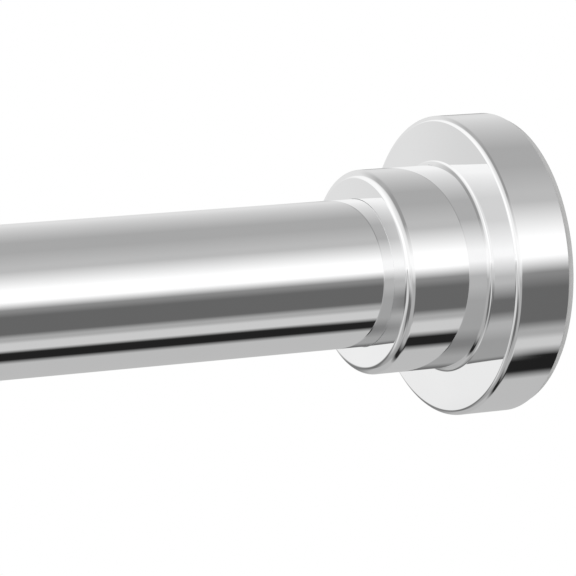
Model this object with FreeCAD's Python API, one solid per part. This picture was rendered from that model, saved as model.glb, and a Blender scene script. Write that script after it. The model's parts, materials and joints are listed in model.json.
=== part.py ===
import FreeCAD, Part
import math
import os

# A screw-type spring tension rod. The origin is the middle of the right pad's wall face, +X points out of the
# rod into the right wall, the rod runs along -X to the left wall, and +Z is up. Turning the inner tube runs
# its nut along the lead screw, and the lead screw pushes back on the spring in the outer tube's end.

# Whole rod, in millimetres
shortest_span = 610.0
extension_travel = 305.0
extension_at_rest = 80.0
spring_travel = 30.0
bare_tube_when_shortest = 36.0

# Tubes
outer_tube_diameter = 25.4
outer_tube_wall = 0.8
inner_tube_diameter = 22.2
inner_tube_wall = 0.7

# Clearances between pieces
sliding_clearance = 0.1
running_clearance = 0.3
seat_clearance = 0.05

# Flange covers, each drawn from one sheet
cover_wall = 0.8
rim_radius = 26.0
rim_length = 10.1
collar_radius = 17.6
collar_length = 16.1
rim_front_round = 0.95
collar_front_round = 1.45
collar_base_round = 1.0
cover_bore_round = 0.3

# Grip rings inside the covers' collars
grip_ring_length = 12.0
grip_ring_wall = 1.3
grip_slot_count = 8
grip_slot_width = 1.5
grip_slot_length = 8.0

# Wall pads
pad_thickness = 1.35
pad_radius = 25.4
pad_edge_round = 0.35
pad_groove_count = 4
pad_groove_width = 1.2
pad_groove_depth = 0.5
pad_groove_pitch = 4.2
pad_first_groove_radius = 8.5
pad_tongue_radius = 14.0
pad_tongue_width = 2.0
pad_tongue_height = 1.2

# Foot plates
plate_thickness = 2.4
plate_to_cover = 0.6
plate_wall = 1.8
plate_wall_height = 8.0
plate_hub_radius = 9.5
plate_hub_height = 5.85
plate_rib_count = 8
plate_rib_thickness = 1.6
plate_rib_height = 5.0

# Foot screws and their washers
foot_screw_diameter = 4.0
foot_screw_core = 3.4
foot_screw_length = 14.0
screw_head_diameter = 8.0
screw_head_height = 2.3
screw_head_round = 1.2
screw_cross_width = 1.0
screw_cross_length = 5.0
screw_cross_depth = 1.1
foot_washer_diameter = 11.0
foot_washer_thickness = 0.8
head_to_recess = 0.7
head_to_pad = 0.35

# End plugs
plug_flange_thickness = 2.0
plug_boss_length = 14.0
plug_wall = 2.8
left_plug_length = 32.0
crush_rib_count = 6
crush_rib_height = 0.3
crush_rib_width = 3.0

# Lead screw
thread_lead = 8.0
thread_crest_radius = 7.0
thread_depth = 1.8
thread_root_width = 4.2
thread_crest_width = 2.2
thread_clearance = 0.35
thread_run_out = 3.0
thread_margin = 6.0
segments_per_turn = 16
tip_length = 4.0
tip_taper = 0.6
shank_across_flats = 8.0
shank_groove_across_flats = 6.2
shank_clearance = 0.2
thrust_collar_radius = 8.6
thrust_collar_length = 4.0
thrust_collar_round = 0.6
tail_length = 3.0
tail_room = 1.0

# Retaining clip on the lead screw's tail
clip_diameter = 14.0
clip_thickness = 1.0
clip_mouth_width = 5.0

# Guide that keeps the lead screw from turning
guide_length = 14.0
guide_spigot_length = 5.0
guide_relief_count = 4
guide_relief_width = 4.0
guide_relief_depth = 1.5

# Compression spring and the washer at each end of it
spring_wire = 2.2
spring_mean_radius = 8.9
spring_active_turns = 12
spring_closed_pitch = 2.27
spring_installed_length = 70.0
spring_wire_sides = 8
spring_washer_diameter = 21.2
spring_washer_thickness = 1.0

# Screw nut and the glide ring in its flange
nut_flange_length = 8.0
nut_spigot_length = 22.0
glide_ring_width = 4.0
glide_ring_thickness = 1.5
glide_ring_gap = 2.5

# Ring at the outer tube's mouth
mouth_lip_thickness = 2.5
mouth_lip_overhang = 0.6
mouth_lip_round = 0.8
mouth_sleeve_length = 20.0

# How far a rib is sunk into its carrier, and a cut runs past what it cuts
overrun = 0.5

# Radii that follow from the sizes above
outer_radius = outer_tube_diameter / 2
outer_bore = outer_radius - outer_tube_wall
inner_radius = inner_tube_diameter / 2
inner_bore = inner_radius - inner_tube_wall
plate_radius = rim_radius - cover_wall - plate_to_cover
guide_bore_across_flats = shank_across_flats + 2 * shank_clearance
shank_corner_radius = shank_across_flats / math.sqrt(3)
plug_hollow = outer_bore - crush_rib_height - plug_wall

# Distances from the wall face at either end of the rod
cover_face = pad_thickness + rim_length
cover_front = cover_face + collar_length
head_start = pad_thickness + head_to_pad
head_end = head_start + screw_head_height
recess_floor = head_end + foot_washer_thickness + 2 * seat_clearance
plate_front = pad_thickness + plate_hub_height
tube_end = plate_front + running_clearance + plug_flange_thickness

# Distances from the right wall face, along the rod at rest
span = shortest_span + extension_at_rest
clip_to_tail = clip_thickness + tail_length + tail_room
right_plug_length = plug_boss_length + clip_to_tail + spring_travel + guide_spigot_length
guide_start = tube_end + right_plug_length
clip_end = guide_start - guide_spigot_length - seat_clearance
spring_start = guide_start + guide_length + spring_washer_thickness
spring_end = spring_start + spring_installed_length
collar_start = spring_end + spring_washer_thickness
collar_end = collar_start + thrust_collar_length
thread_start = collar_end + thread_run_out
shortest_nut_start = thread_start + thread_run_out
nut_start = shortest_nut_start + extension_at_rest
nut_flange_end = nut_start + nut_flange_length
nut_end = nut_flange_end + nut_spigot_length
thread_end = shortest_nut_start + extension_travel + nut_flange_length + nut_spigot_length + thread_margin
mouth_end = shortest_span - cover_front - bare_tube_when_shortest
outer_tube_end = mouth_end - mouth_lip_thickness

rod_start = FreeCAD.Vector(0, 0, 0)
rod_axis = FreeCAD.Vector(1, 0, 0)


def from_right(distance):
    return -distance


def from_left(distance):
    return distance - span


# Shapes that the pieces are made from


def corner_arc(before, corner, after, radius):
    """The start, middle and end of the arc that rounds a corner."""
    back = (before - corner).normalize()
    ahead = (after - corner).normalize()
    half_angle = back.getAngle(ahead) / 2
    reach = radius / math.tan(half_angle)
    inward = (back + ahead).normalize()
    middle = corner + inward * (radius / math.sin(half_angle) - radius)
    return corner + back * reach, middle, corner + ahead * reach


def outline(corners, place):
    """A closed face beside the rod's axis, from (distance, radius) or (distance, radius, rounding) corners."""
    points = [FreeCAD.Vector(place(corner[0]), 0, corner[1]) for corner in corners]
    starts = []
    ends = []
    arcs = []
    for number, corner in enumerate(corners):
        point = points[number]
        rounding = corner[2] if len(corner) > 2 else 0
        if rounding > 0:
            after = points[(number + 1) % len(points)]
            start, middle, end = corner_arc(points[number - 1], point, after, rounding)
            arcs.append(Part.Arc(start, middle, end).toShape())
        else:
            start = end = point
            arcs.append(None)
        starts.append(start)
        ends.append(end)
    edges = []
    for number, arc in enumerate(arcs):
        if arc:
            edges.append(arc)
        next_start = starts[(number + 1) % len(starts)]
        edges.append(Part.LineSegment(ends[number], next_start).toShape())
    return Part.Face(Part.Wire(edges))


def turned(corners, place=from_right):
    """A solid turned about the rod's axis from an outline."""
    return outline(corners, place).revolve(rod_start, rod_axis, 360)


def sleeve(bore, radius, start, end, place=from_right):
    return turned([(start, bore), (end, bore), (end, radius), (start, radius)], place)


def hexagon(across_flats, start, end):
    """A hexagonal bar on the rod's axis."""
    reach = across_flats / math.sqrt(3)
    corners = []
    for number in range(7):
        angle = math.radians(60 * number)
        corners.append(FreeCAD.Vector(from_right(start), reach * math.sin(angle), reach * math.cos(angle)))
    return Part.Face(Part.makePolygon(corners)).extrude(rod_axis * (start - end))


def bar(width, bottom, top, start, end, place=from_right):
    """A square-edged bar that stands out from the rod's axis, from one radius to another."""
    low = min(place(start), place(end))
    return Part.makeBox(end - start, width, top - bottom, FreeCAD.Vector(low, -width / 2, bottom))


def around_axis(solid, count):
    """Evenly spaced copies around the rod's axis."""
    copies = []
    for number in range(count):
        copy = solid.copy()
        copy.rotate(rod_start, rod_axis, 360.0 * number / count)
        copies.append(copy)
    return copies


def crush_ribs(radius, start, end, place=from_right):
    """Ribs along a plug, which hold it in its tube. Their tops follow the tube's bore."""
    bottom = radius - 2 * crush_rib_height
    rib = bar(crush_rib_width, bottom, radius + overrun, start, end, place)
    bore = sleeve(0, radius, start, end, place)
    return [copy.common(bore) for copy in around_axis(rib, crush_rib_count)]


def flat_faced_solid(outlines):
    """A closed solid from the corners of each flat face that bounds it."""
    faces = [Part.Face(Part.makePolygon(corners + corners[:1])) for corners in outlines]
    shell = Part.makeShell(faces)
    shell.sewShape()
    solid = Part.Solid(shell)
    return solid if solid.Volume > 0 else solid.reversed()


def around(step, distance, radius):
    """A point at a number of steps round the rod's axis, turning right-handed on the way to the left wall."""
    angle = 2 * math.pi * step / segments_per_turn
    return FreeCAD.Vector(from_right(distance), radius * math.sin(angle), radius * math.cos(angle))


# The lead screw's thread, which also cuts the nut


def ridge_section(step, clearance):
    """The thread's four corners at one step, from its near foot over its crest to its far foot."""
    middle = thread_lead * step / segments_per_turn
    root = thread_crest_radius - thread_depth + clearance
    crest = thread_crest_radius + clearance
    half_root = thread_root_width / 2 + clearance
    half_crest = thread_crest_width / 2 + clearance
    return [
        around(step, middle - half_root, root),
        around(step, middle - half_crest, crest),
        around(step, middle + half_crest, crest),
        around(step, middle + half_root, root),
    ]


def ridge_faces(first_step, last_step, clearance):
    """The thread's flanks and crest, with a blunt face at each end."""
    faces = [ridge_section(first_step, clearance), ridge_section(last_step, clearance)]
    for step in range(first_step, last_step):
        here = ridge_section(step, clearance)
        there = ridge_section(step + 1, clearance)
        faces.append([here[1], here[2], there[2], there[1]])
        for foot in (0, 2):
            faces.append([here[foot], here[foot + 1], there[foot + 1]])
            faces.append([here[foot], there[foot + 1], there[foot]])
    return faces


def core_line(step, first_step, last_step, start, end, clearance):
    """The points on one straight line along the core: its two ends, and the thread's feet where it crosses."""
    root = thread_crest_radius - thread_depth + clearance
    points = [around(step, start, root)]
    for turn in range(first_step + (step - first_step) % segments_per_turn, last_step + 1, segments_per_turn):
        section = ridge_section(turn, clearance)
        points += [section[0], section[3]]
    return points + [around(step, end, root)]


def core_faces(first_step, last_step, start, end, clearance):
    """The core's two ends, and its wall between the turns of the thread in one strip for each step round it."""
    root = thread_crest_radius - thread_depth + clearance
    faces = []
    for distance in (start, end):
        faces.append([around(step, distance, root) for step in range(segments_per_turn)])
    for column in range(segments_per_turn):
        step = first_step + column
        left = core_line(step, first_step, last_step, start, end, clearance)
        right = core_line(step + 1, first_step, last_step, start, end, clearance)
        turns = len(range(step, last_step, segments_per_turn))
        # The last strip ends on the line where the thread starts, so that line has two feet more
        extra = 2 if column == segments_per_turn - 1 else 0
        for gap in range(turns + 1):
            left_from = 2 * gap
            right_from = left_from + extra if gap else 0
            left_to = left_from + 2 if gap < turns else len(left)
            right_to = left_from + extra + 2 if gap < turns else len(right)
            faces.append(left[left_from:left_to] + right[right_from:right_to][::-1])
    return faces


def threaded_rod(first_step, last_step, start, end, clearance=0):
    """A core with one right-hand thread on it. The steps say where the thread starts and ends."""
    outlines = ridge_faces(first_step, last_step, clearance)
    outlines += core_faces(first_step, last_step, start, end, clearance)
    return flat_faced_solid(outlines)


def steps_to(distance):
    return distance * segments_per_turn / thread_lead


def lead_screw():
    """The coarse screw with its thrust collar and its hexagonal shank, moulded as one piece."""
    root = thread_crest_radius - thread_depth
    first_step = math.ceil(steps_to(thread_start))
    last_step = math.floor(steps_to(thread_end - thread_root_width / 2))
    screw = threaded_rod(first_step, last_step, collar_end, thread_end)
    collar = turned([
        (collar_start, 0),
        (collar_end, 0),
        (collar_end, thrust_collar_radius, thrust_collar_round),
        (collar_start, thrust_collar_radius),
    ])
    tip_end = thread_end + tip_length
    tip = turned([(thread_end, 0), (tip_end, 0), (tip_end, root * tip_taper), (thread_end, root)])
    groove_start = clip_end - clip_thickness - seat_clearance
    groove_end = clip_end + seat_clearance
    tail = hexagon(shank_across_flats, groove_start - tail_length, groove_start)
    groove = hexagon(shank_groove_across_flats, groove_start, groove_end)
    shank = hexagon(shank_across_flats, groove_end, collar_start)
    return screw.fuse([collar, tip, tail, groove, shank])


# The pieces at both ends of the rod


def flange_cover(tube_radius, place):
    """The stepped cover that slides along the tube. Its wall has one thickness all over."""
    bore = tube_radius + sliding_clearance
    inner_rim = rim_radius - cover_wall
    inner_collar = collar_radius - cover_wall
    return turned([
        (pad_thickness, rim_radius),
        (cover_face, rim_radius, rim_front_round),
        (cover_face, collar_radius, collar_base_round),
        (cover_front, collar_radius, collar_front_round),
        (cover_front, bore, cover_bore_round),
        (cover_front - cover_wall, bore),
        (cover_front - cover_wall, inner_collar, collar_front_round - cover_wall),
        (cover_face - cover_wall, inner_collar, collar_base_round + cover_wall),
        (cover_face - cover_wall, inner_rim, rim_front_round - cover_wall),
        (pad_thickness, inner_rim),
    ], place)


def cover_grip_ring(tube_radius, place):
    """The moulded ring in the collar. Its inner sleeve is slotted into fingers that grip the tube."""
    bore = tube_radius + sliding_clearance
    radius = collar_radius - cover_wall - seat_clearance
    front = cover_front - cover_wall - seat_clearance
    back = front - grip_ring_length
    ring = turned([
        (back, bore),
        (front, bore),
        (front, radius, collar_front_round),
        (back, radius),
        (back, radius - grip_ring_wall),
        (front - grip_ring_wall, radius - grip_ring_wall),
        (front - grip_ring_wall, bore + grip_ring_wall),
        (back, bore + grip_ring_wall),
    ], place)
    slot_top = bore + grip_ring_wall + seat_clearance
    slot = bar(grip_slot_width, 0, slot_top, back, back + grip_slot_length, place)
    return ring.cut(around_axis(slot, grip_slot_count))


def wall_pad(place):
    """The soft pad, with grip grooves in its wall face and a tongue that keys it to the foot plate."""
    corners = [(0, 0)]
    for number in range(pad_groove_count):
        near = pad_first_groove_radius + number * pad_groove_pitch
        far = near + pad_groove_width
        corners += [(0, near), (pad_groove_depth, near), (pad_groove_depth, far), (0, far)]
    near = pad_tongue_radius - pad_tongue_width / 2
    far = pad_tongue_radius + pad_tongue_width / 2
    top = pad_thickness + pad_tongue_height
    corners += [
        (0, pad_radius, pad_edge_round),
        (pad_thickness, pad_radius),
        (pad_thickness, far),
        (top, far),
        (top, near),
        (pad_thickness, near),
        (pad_thickness, 0),
    ]
    return turned(corners, place)


def foot_plate(place):
    """The moulded plate that carries the pad, with a ribbed front and a recess for the screw's head."""
    back = pad_thickness
    front = pad_thickness + plate_thickness
    inner = plate_radius - plate_wall
    hole = foot_screw_diameter / 2 + sliding_clearance
    recess = foot_washer_diameter / 2 + head_to_recess
    tongue_near = pad_tongue_radius - pad_tongue_width / 2 - seat_clearance
    tongue_far = pad_tongue_radius + pad_tongue_width / 2 + seat_clearance
    tongue_top = pad_thickness + pad_tongue_height + seat_clearance
    plate = turned([
        (recess_floor, hole),
        (recess_floor, recess),
        (back, recess),
        (back, tongue_near),
        (tongue_top, tongue_near),
        (tongue_top, tongue_far),
        (back, tongue_far),
        (back, plate_radius),
        (back + plate_wall_height, plate_radius),
        (back + plate_wall_height, inner),
        (front, inner),
        (front, plate_hub_radius),
        (plate_front, plate_hub_radius),
        (plate_front, hole),
    ], place)
    rib_near = plate_hub_radius - overrun
    rib_far = inner + overrun
    rib = bar(plate_rib_thickness, rib_near, rib_far, front - overrun, back + plate_rib_height, place)
    return plate.fuse(around_axis(rib, plate_rib_count)).removeSplitter()


def foot_screw(place):
    """The pan-head screw that the foot plate turns on. Its thread is plain here."""
    shoulder = foot_screw_diameter / 2
    core = foot_screw_core / 2
    shoulder_end = plate_front + running_clearance - seat_clearance
    end = head_end + foot_screw_length
    screw = turned([
        (head_start, 0),
        (head_start, screw_head_diameter / 2, screw_head_round),
        (head_end, screw_head_diameter / 2),
        (head_end, shoulder),
        (shoulder_end, shoulder),
        (shoulder_end, core),
        (end - core, core),
        (end, 0),
    ], place)
    half_length = screw_cross_length / 2
    cross = bar(screw_cross_width, -half_length, half_length, head_start, head_start + screw_cross_depth, place)
    other = cross.copy()
    other.rotate(rod_start, rod_axis, 90)
    return screw.cut([cross, other])


def foot_washer(place):
    bore = foot_screw_diameter / 2 + sliding_clearance
    start = head_end + seat_clearance
    return sleeve(bore, foot_washer_diameter / 2, start, start + foot_washer_thickness, place)


def end_plug(tube_radius, tube_bore, length, place):
    """The moulded plug pressed into a tube's end, with a boss for the foot screw and a hollow barrel."""
    barrel = tube_bore - crush_rib_height
    hole = foot_screw_core / 2 + seat_clearance
    flange_start = tube_end - plug_flange_thickness
    plug = turned([
        (flange_start, hole),
        (flange_start, tube_radius),
        (tube_end, tube_radius),
        (tube_end, barrel),
        (tube_end + length, barrel),
        (tube_end + length, barrel - plug_wall),
        (tube_end + plug_boss_length, barrel - plug_wall),
        (tube_end + plug_boss_length, hole),
    ], place)
    return plug.fuse(crush_ribs(tube_bore - seat_clearance, tube_end, tube_end + length, place))


# The pieces inside the rod


def screw_guide():
    """The moulded guide that the lead screw's hexagonal shank slides in, seated on the right end plug."""
    radius = outer_bore - seat_clearance
    spigot = plug_hollow - seat_clearance
    spigot_start = guide_start - guide_spigot_length
    end = guide_start + guide_length
    body = turned([
        (spigot_start, 0),
        (spigot_start, spigot),
        (guide_start, spigot),
        (guide_start, radius),
        (end, radius),
        (end, 0),
    ])
    relief = bar(guide_relief_width, radius - guide_relief_depth, radius + overrun, guide_start, end)
    bore = hexagon(guide_bore_across_flats, spigot_start, end)
    return body.cut([bore] + around_axis(relief, guide_relief_count))


def retaining_clip():
    """The open clip in the groove of the lead screw's tail."""
    bore = shank_groove_across_flats / math.sqrt(3) + seat_clearance
    start = clip_end - clip_thickness
    ring = sleeve(bore, clip_diameter / 2, start, clip_end)
    return ring.cut(bar(clip_mouth_width, 0, clip_diameter, start, clip_end))


def spring_washer(start):
    bore = shank_corner_radius + running_clearance
    return sleeve(bore, spring_washer_diameter / 2, start, start + spring_washer_thickness)


def spring_middle(step, turns):
    """How far along the rod the wire's middle is. One turn lies closed at each end of the spring."""
    first = spring_start + spring_wire / 2
    last = spring_end - spring_wire / 2
    turn = step / segments_per_turn
    if turn < 1:
        return first + spring_closed_pitch * turn
    if turn > turns - 1:
        return last - spring_closed_pitch * (turns - turn)
    open_length = last - first - 2 * spring_closed_pitch
    return first + spring_closed_pitch + open_length * (turn - 1) / spring_active_turns


def tension_spring():
    """The compression spring that presses the rod against the walls."""
    turns = spring_active_turns + 2
    rings = []
    for step in range(turns * segments_per_turn + 1):
        middle = spring_middle(step, turns)
        ring = []
        for side in range(spring_wire_sides):
            angle = 2 * math.pi * side / spring_wire_sides
            radius = spring_mean_radius + spring_wire / 2 * math.cos(angle)
            ring.append(around(step, middle + spring_wire / 2 * math.sin(angle), radius))
        rings.append(ring)
    outlines = [rings[0], rings[-1]]
    for here, there in zip(rings, rings[1:]):
        for side in range(spring_wire_sides):
            outlines.append([here[side - 1], here[side], there[side]])
            outlines.append([here[side - 1], there[side], there[side - 1]])
    return flat_faced_solid(outlines)


def screw_nut():
    """The moulded nut pressed into the inner tube, with a groove round its flange for the glide ring."""
    flange = outer_bore - running_clearance
    groove_floor = outer_bore - sliding_clearance - glide_ring_thickness - running_clearance
    groove_middle = nut_start + nut_flange_length / 2
    half_groove = glide_ring_width / 2 + running_clearance
    spigot = inner_bore - crush_rib_height
    blank = turned([
        (nut_start, 0),
        (nut_start, flange),
        (groove_middle - half_groove, flange),
        (groove_middle - half_groove, groove_floor),
        (groove_middle + half_groove, groove_floor),
        (groove_middle + half_groove, flange),
        (nut_flange_end, flange),
        (nut_flange_end, spigot),
        (nut_end, spigot),
        (nut_end, 0),
    ])
    blank = blank.fuse(crush_ribs(inner_bore - seat_clearance, nut_flange_end, nut_end))
    first_step = math.floor(steps_to(nut_start - thread_lead))
    last_step = math.ceil(steps_to(nut_end + thread_lead))
    start = nut_start - 2 * thread_lead
    end = nut_end + 2 * thread_lead
    return blank.cut(threaded_rod(first_step, last_step, start, end, thread_clearance))


def glide_ring():
    """The split ring that rides in the nut's flange and slides along the outer tube without turning."""
    radius = outer_bore - sliding_clearance
    start = nut_start + nut_flange_length / 2 - glide_ring_width / 2
    end = start + glide_ring_width
    ring = sleeve(radius - glide_ring_thickness, radius, start, end)
    return ring.cut(bar(glide_ring_gap, 0, radius + overrun, start, end))


def tube_mouth_ring():
    """The ring pressed into the outer tube's mouth, which guides the inner tube and covers the cut edge."""
    bore = inner_radius + running_clearance
    lip = outer_radius + mouth_lip_overhang
    return turned([
        (outer_tube_end - mouth_sleeve_length, bore),
        (mouth_end, bore),
        (mouth_end, lip, mouth_lip_round),
        (outer_tube_end, lip, mouth_lip_round),
        (outer_tube_end, outer_bore - seat_clearance),
        (outer_tube_end - mouth_sleeve_length, outer_bore - seat_clearance),
    ])


def ends():
    """The pieces that both ends of the rod have. The left end closes the thinner tube."""
    pieces = {}
    for side, tube_radius, tube_bore, plug_length, place in (
        ("right", outer_radius, outer_bore, right_plug_length, from_right),
        ("left", inner_radius, inner_bore, left_plug_length, from_left),
    ):
        pieces[side + "_wall_pad"] = wall_pad(place)
        pieces[side + "_foot_plate"] = foot_plate(place)
        pieces[side + "_foot_screw"] = foot_screw(place)
        pieces[side + "_foot_washer"] = foot_washer(place)
        pieces[side + "_end_plug"] = end_plug(tube_radius, tube_bore, plug_length, place)
        pieces[side + "_flange_cover"] = flange_cover(tube_radius, place)
        pieces[side + "_cover_grip_ring"] = cover_grip_ring(tube_radius, place)
    return pieces


def inside():
    """The tubes and what they hold between the end plugs."""
    return {
        "outer_tube": sleeve(outer_bore, outer_radius, tube_end, outer_tube_end),
        "inner_tube": sleeve(inner_bore, inner_radius, nut_flange_end, span - tube_end),
        "tube_mouth_ring": tube_mouth_ring(),
        "lead_screw": lead_screw(),
        "screw_guide": screw_guide(),
        "retaining_clip": retaining_clip(),
        "spring_seat_washer": spring_washer(guide_start + guide_length),
        "tension_spring": tension_spring(),
        "thrust_washer": spring_washer(spring_end),
        "screw_nut": screw_nut(),
        "glide_ring": glide_ring(),
    }


os.makedirs("parts", exist_ok=True)
for name, piece in {**ends(), **inside()}.items():
    piece.exportStep(f"parts/{name}.step")
    print(name, piece.isValid(), len(piece.Solids), round(piece.Volume, 1))
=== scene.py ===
import json
import math

import bmesh
import bpy
from mathutils import Matrix, Vector


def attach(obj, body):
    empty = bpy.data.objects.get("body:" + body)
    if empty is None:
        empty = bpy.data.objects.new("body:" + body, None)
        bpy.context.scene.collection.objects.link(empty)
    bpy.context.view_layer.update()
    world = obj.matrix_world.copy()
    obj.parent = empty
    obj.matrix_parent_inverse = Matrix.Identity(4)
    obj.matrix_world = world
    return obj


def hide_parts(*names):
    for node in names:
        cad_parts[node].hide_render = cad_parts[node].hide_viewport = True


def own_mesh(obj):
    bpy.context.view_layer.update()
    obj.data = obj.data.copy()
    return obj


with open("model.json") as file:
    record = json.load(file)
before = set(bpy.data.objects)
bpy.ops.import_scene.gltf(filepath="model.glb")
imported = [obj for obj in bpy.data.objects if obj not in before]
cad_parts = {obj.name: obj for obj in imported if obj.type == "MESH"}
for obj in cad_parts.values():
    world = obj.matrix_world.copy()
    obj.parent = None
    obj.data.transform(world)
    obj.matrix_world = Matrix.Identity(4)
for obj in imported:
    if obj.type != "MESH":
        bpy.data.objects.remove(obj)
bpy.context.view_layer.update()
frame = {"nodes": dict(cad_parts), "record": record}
nodes = frame["nodes"]
mm = 0.001
print("frame loaded:", len(nodes), "CAD nodes")

# The rod as a whole, in millimetres. Distances are from the wall face at the end that a piece belongs to
rod = {
    "span": 690.0,
    "outerTube": 12.7,  # radii
    "outerBore": 11.9,
    "innerTube": 11.1,
    "innerBore": 10.4,
    "pad": 1.35,  # thickness of the wall pad
}


def fromRight(distance):
    return -distance * mm


def fromLeft(distance):
    return (distance - rod["span"]) * mm


# Modelling helpers

limits = {
    "onRing": 5e-6,  # metres within which a point counts as lying on a ring
    "weld": 2e-6,  # and within which two points become one
    "smoothBelow": 32,  # degrees between two faces that still shade as one
}


def startAlone(piece):
    bpy.ops.object.select_all(action="DESELECT")
    piece.select_set(True)
    bpy.context.view_layer.objects.active = piece


def liesOnRing(vert, x, radius):
    away = max(abs(vert.co.x - x), abs(math.hypot(vert.co.y, vert.co.z) - radius * mm))
    return away < limits["onRing"]


def selectRing(piece, x, radius):
    # Selects the closed ring of edges at one place along the rod and one radius
    bpy.ops.mesh.select_mode(type="EDGE")
    bpy.ops.mesh.select_all(action="DESELECT")
    mesh = bmesh.from_edit_mesh(piece.data)
    for edge in mesh.edges:
        if all(liesOnRing(vert, x, radius) for vert in edge.verts):
            edge.select_set(True)
    bmesh.update_edit_mesh(piece.data)


def latheRing(name, corners, place, sides=192, closed=True):
    # Draws a ring out corner by corner: each is (distance, radius), or (distance, radius, rounding, segments)
    # where it is rounded. An open one is closed by a disc at either end
    bpy.ops.object.select_all(action="DESELECT")
    distance, radius = corners[0][:2]
    bpy.ops.mesh.primitive_circle_add(vertices=sides, radius=radius * mm, location=(place(distance), 0, 0),
                                      rotation=(0, math.pi / 2, 0))
    piece = bpy.context.object
    piece.name = piece.data.name = name
    bpy.ops.object.transform_apply(location=True, rotation=True, scale=True)
    bpy.ops.object.mode_set(mode="EDIT")
    bpy.ops.mesh.select_mode(type="EDGE")
    bpy.ops.mesh.select_all(action="SELECT")
    for corner in corners[1:] + (corners[:1] if closed else []):
        step = place(corner[0]) - place(distance)
        bpy.ops.mesh.extrude_region_move(TRANSFORM_OT_translate={"value": (step, 0, 0)})
        if corner[1] != radius:
            grow = corner[1] / radius
            bpy.ops.transform.resize(value=(1, grow, grow), center_override=(place(corner[0]), 0, 0))
        distance, radius = corner[:2]
    bpy.ops.mesh.select_all(action="SELECT")
    bpy.ops.mesh.remove_doubles(threshold=limits["weld"])
    if not closed:
        for corner in (corners[0], corners[-1]):
            selectRing(piece, place(corner[0]), corner[1])
            bpy.ops.mesh.edge_face_add()
    bpy.ops.mesh.select_all(action="SELECT")
    bpy.ops.mesh.normals_make_consistent(inside=False)
    for corner in corners:
        if len(corner) > 2:
            selectRing(piece, place(corner[0]), corner[1])
            rounding, segments = corner[2:]
            bpy.ops.mesh.bevel(offset=rounding * mm, segments=segments, profile=0.5, clamp_overlap=False)
    bpy.ops.object.mode_set(mode="OBJECT")
    return piece


def finishSmooth(piece):
    # Rounds shade smooth, and flats stay flat right up to them
    startAlone(piece)
    bpy.ops.object.shade_smooth_by_angle(angle=math.radians(limits["smoothBelow"]))
    bpy.ops.object.modifier_add(type="WEIGHTED_NORMAL")
    modifier = piece.modifiers[-1]
    modifier.keep_sharp = True
    bpy.ops.object.modifier_apply(modifier=modifier.name)
    return piece


def block(place, start, end, near, far, width, tip=1.0):
    # A bar along the rod, from near to far off its axis. The face at its end keeps the share tip of its width
    bpy.ops.object.select_all(action="DESELECT")
    middle = (place(start) + place(end)) / 2
    bpy.ops.mesh.primitive_cube_add(size=1, location=(middle, 0, (near + far) / 2 * mm))
    bar = bpy.context.object
    bar.scale = (abs(end - start) * mm, width * mm, (far - near) * mm)
    bpy.ops.object.transform_apply(location=True, rotation=True, scale=True)
    if tip != 1.0:
        bpy.ops.object.mode_set(mode="EDIT")
        bpy.ops.mesh.select_mode(type="FACE")
        bpy.ops.mesh.select_all(action="DESELECT")
        mesh = bmesh.from_edit_mesh(bar.data)
        endFace = min(mesh.faces, key=lambda face: abs(face.calc_center_median().x - place(end)))
        endFace.select_set(True)
        bmesh.update_edit_mesh(bar.data)
        bpy.ops.transform.resize(value=(1, tip, 1))
        bpy.ops.object.mode_set(mode="OBJECT")
    return bar


def roundAll(piece, width, segments):
    startAlone(piece)
    bpy.ops.object.modifier_add(type="BEVEL")
    modifier = piece.modifiers[-1]
    modifier.width = width * mm
    modifier.segments = segments
    modifier.limit_method = "ANGLE"
    bpy.ops.object.modifier_apply(modifier=modifier.name)


def aroundAxis(piece, count):
    # Turned copies of a piece about the rod's axis, joined to it
    startAlone(piece)
    copies = [piece]
    for number in range(1, count):
        startAlone(copies[-1])
        bpy.ops.object.duplicate()
        bpy.ops.transform.rotate(value=2 * math.pi / count, orient_axis="X", center_override=(0, 0, 0))
        bpy.ops.object.transform_apply(location=True, rotation=True, scale=True)
        copies.append(bpy.context.object)
    for copy in copies:
        copy.select_set(True)
    bpy.context.view_layer.objects.active = piece
    bpy.ops.object.join()
    bpy.ops.object.transform_apply(location=True, rotation=True, scale=True)
    return piece


def combine(piece, tool, operation):
    startAlone(piece)
    bpy.ops.object.modifier_add(type="BOOLEAN")
    modifier = piece.modifiers[-1]
    modifier.operation = operation
    modifier.object = tool
    bpy.ops.object.modifier_apply(modifier=modifier.name)
    bpy.data.objects.remove(tool)
    return piece


def seat(piece, body, node, material):
    piece.data.materials.clear()
    piece.data.materials.append(material)
    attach(piece, body)
    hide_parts(node)
    return piece


# Shader groups that the finishes share


def makeGroup(name, inputs, outputs):
    tree = bpy.data.node_groups.new(name, "ShaderNodeTree")
    for socketName, value in inputs.items():
        socket = tree.interface.new_socket(
            name=socketName, in_out="INPUT", socket_type="NodeSocketFloat")
        socket.default_value = value
    for socketName in outputs:
        tree.interface.new_socket(name=socketName, in_out="OUTPUT", socket_type="NodeSocketFloat")
    groupIn = tree.nodes.new("NodeGroupInput")
    groupIn.location = (-900, 0)
    groupOut = tree.nodes.new("NodeGroupOutput")
    groupOut.location = (700, 0)
    return tree, groupIn, groupOut


def addNode(tree, kind, place, **settings):
    node = tree.nodes.new(kind)
    node.location = place
    for key, value in settings.items():
        setattr(node, key, value)
    return node


def mathNode(tree, operation, place, first, second=None, clamp=False):
    # Each side is a socket to link or a plain number
    node = addNode(tree, "ShaderNodeMath", place, operation=operation, use_clamp=clamp)
    for number, value in enumerate((first, second)):
        if isinstance(value, (int, float)):
            node.inputs[number].default_value = value
        elif value is not None:
            tree.links.new(value, node.inputs[number])
    return node.outputs[0]


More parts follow.
